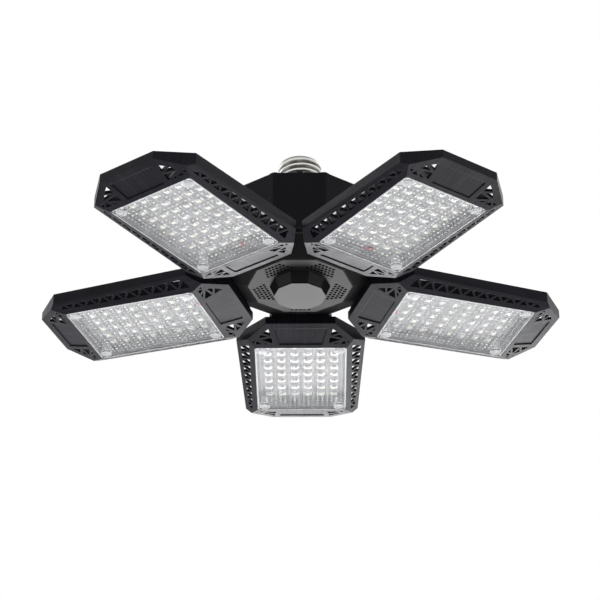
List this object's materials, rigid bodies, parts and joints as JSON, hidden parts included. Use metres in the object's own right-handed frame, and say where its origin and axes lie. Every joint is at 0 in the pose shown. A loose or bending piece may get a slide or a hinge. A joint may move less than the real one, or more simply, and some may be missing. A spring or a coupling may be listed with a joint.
{
  "type": "deformable garage light",
  "caption": "Ceiling lamp with folding LED panels in black lattice frames around a hub with a screw base",
  "frame": {"origin": "on the lamp's axis at the foot of the bare thread of the screw base", "axes": "+Z along the screw base, out of the lamp and into the socket; the panels lie below, square to Z; +Y runs along panel 1"},
  "size_m": [0.3048, 0.2899, 0.099],
  "materials": {
    "housing_plastic": "fine moulded texture, black",
    "cover_plastic": "fine moulded texture, black with a soft sheen",
    "collar_plastic": "black, smooth",
    "lattice_plastic": "fine moulded texture, black",
    "clear_lens": "clear plastic with a grid of small prisms",
    "led_board": "silver-grey solder mask",
    "led_chip": "white body with a pale yellow window, unlit",
    "heat_sink": "plain extruded aluminium",
    "arm_metal": "black powder coat",
    "plated_steel": "zinc plated",
    "base_nickel": "nickel plated, polished by handling",
    "base_insulator": "black, glossy",
    "contact_metal": "tinned",
    "circuit_board": "green solder mask",
    "transformer_core": "ferrite and tape",
    "capacitor_sleeve": "dark shrink sleeve",
    "socket_plastic": "off-white",
    "lead_red": "red insulation",
    "lead_white": "white insulation"
  },
  "bodies": {
    "hub": {"screw_shell": "base_nickel", "base_insulator": "base_insulator", "centre_contact": "contact_metal", "base_collar": "collar_plastic", "driver_housing": "housing_plastic", "hinge_ring": "housing_plastic", "bottom_cover": "cover_plastic", "centre_cap": "cover_plastic", "cover_screws": "plated_steel", "hinge_pins": "plated_steel", "driver_board": "circuit_board", "board_screws": "plated_steel", "transformer": "transformer_core", "capacitors": "capacitor_sleeve", "output_sockets": "socket_plastic", "input_leads": "lead_white"},
    "panel_1": {"frame_1": "lattice_plastic", "lens_1": "clear_lens", "led_board_1": "led_board", "leds_1": "led_chip", "heat_sink_1": "heat_sink", "panel_screws_1": "plated_steel", "led_leads_1": "lead_red", "hinge_arm_1": "arm_metal"},
    "panel_2": {"frame_2": "lattice_plastic", "lens_2": "clear_lens", "led_board_2": "led_board", "leds_2": "led_chip", "heat_sink_2": "heat_sink", "panel_screws_2": "plated_steel", "led_leads_2": "lead_red", "hinge_arm_2": "arm_metal"},
    "panel_3": {"frame_3": "lattice_plastic", "lens_3": "clear_lens", "led_board_3": "led_board", "leds_3": "led_chip", "heat_sink_3": "heat_sink", "panel_screws_3": "plated_steel", "led_leads_3": "lead_red", "hinge_arm_3": "arm_metal"},
    "panel_4": {"frame_4": "lattice_plastic", "lens_4": "clear_lens", "led_board_4": "led_board", "leds_4": "led_chip", "heat_sink_4": "heat_sink", "panel_screws_4": "plated_steel", "led_leads_4": "lead_red", "hinge_arm_4": "arm_metal"},
    "panel_5": {"frame_5": "lattice_plastic", "lens_5": "clear_lens", "led_board_5": "led_board", "leds_5": "led_chip", "heat_sink_5": "heat_sink", "panel_screws_5": "plated_steel", "led_leads_5": "lead_red", "hinge_arm_5": "arm_metal"}
  },
  "joints": [
    {"name": "panel_1_hinge", "type": "hinge", "parent": "hub", "child": "panel_1", "pos_m": [0, 0.05, -0.063], "axis": [1, 0, 0], "range_deg": [0, 90]},
    {"name": "panel_2_hinge", "type": "hinge", "parent": "hub", "child": "panel_2", "pos_m": [-0.04755, 0.01545, -0.063], "axis": [0.309, 0.9511, 0], "range_deg": [0, 90]},
    {"name": "panel_3_hinge", "type": "hinge", "parent": "hub", "child": "panel_3", "pos_m": [-0.02939, -0.04045, -0.063], "axis": [-0.809, 0.5878, 0], "range_deg": [0, 90]},
    {"name": "panel_4_hinge", "type": "hinge", "parent": "hub", "child": "panel_4", "pos_m": [0.02939, -0.04045, -0.063], "axis": [-0.809, -0.5878, 0], "range_deg": [0, 90]},
    {"name": "panel_5_hinge", "type": "hinge", "parent": "hub", "child": "panel_5", "pos_m": [0.04755, 0.01545, -0.063], "axis": [0.309, -0.9511, 0], "range_deg": [0, 90]}
  ]
}
